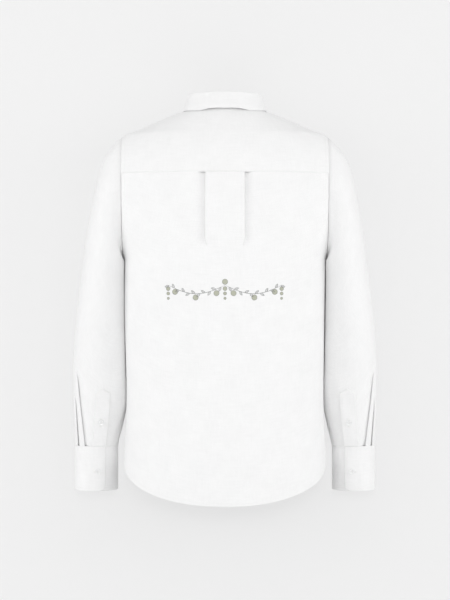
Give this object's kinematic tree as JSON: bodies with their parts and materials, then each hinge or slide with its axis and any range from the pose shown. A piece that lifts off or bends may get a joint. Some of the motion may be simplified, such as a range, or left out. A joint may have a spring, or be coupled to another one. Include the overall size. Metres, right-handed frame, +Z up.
{
  "type": "oxford shirt",
  "caption": "Long-sleeved button-front oxford shirt, hollow as worn, with a yoke, a box-pleated back, a curved hem, a fold-over collar and buttoned cuffs",
  "frame": {"origin": "midway between the two points where the collar seam crosses the shoulders, at that height: where the wearer's neck and shoulders hold the shirt", "axes": "+Z up along the body, -Y out of the front, +X to the wearer's left"},
  "size_m": [0.56, 0.2574, 0.7401],
  "materials": {
    "cloth": "white cotton oxford, one layer, matt",
    "stiffened_cloth": "white cotton oxford, two layers with interlining, matt",
    "button": "white pearl-like resin, glossy"
  },
  "bodies": {
    "root": {"back": "cloth", "yoke": "cloth", "front_left": "cloth", "front_right": "cloth", "placket": "cloth", "button_band": "cloth", "sleeve_left": "cloth", "sleeve_right": "cloth", "gauntlet_left": "cloth", "gauntlet_right": "cloth", "cuff_left": "stiffened_cloth", "cuff_right": "stiffened_cloth", "collar_stand": "stiffened_cloth", "collar_leaf": "stiffened_cloth", "button_front_1": "button", "button_front_2": "button", "button_front_3": "button", "button_front_4": "button", "button_front_5": "button", "button_front_6": "button", "button_collar": "button", "button_cuff_left": "button", "button_cuff_right": "button", "button_gauntlet_left": "button", "button_gauntlet_right": "button"}
  },
  "joints": []
}
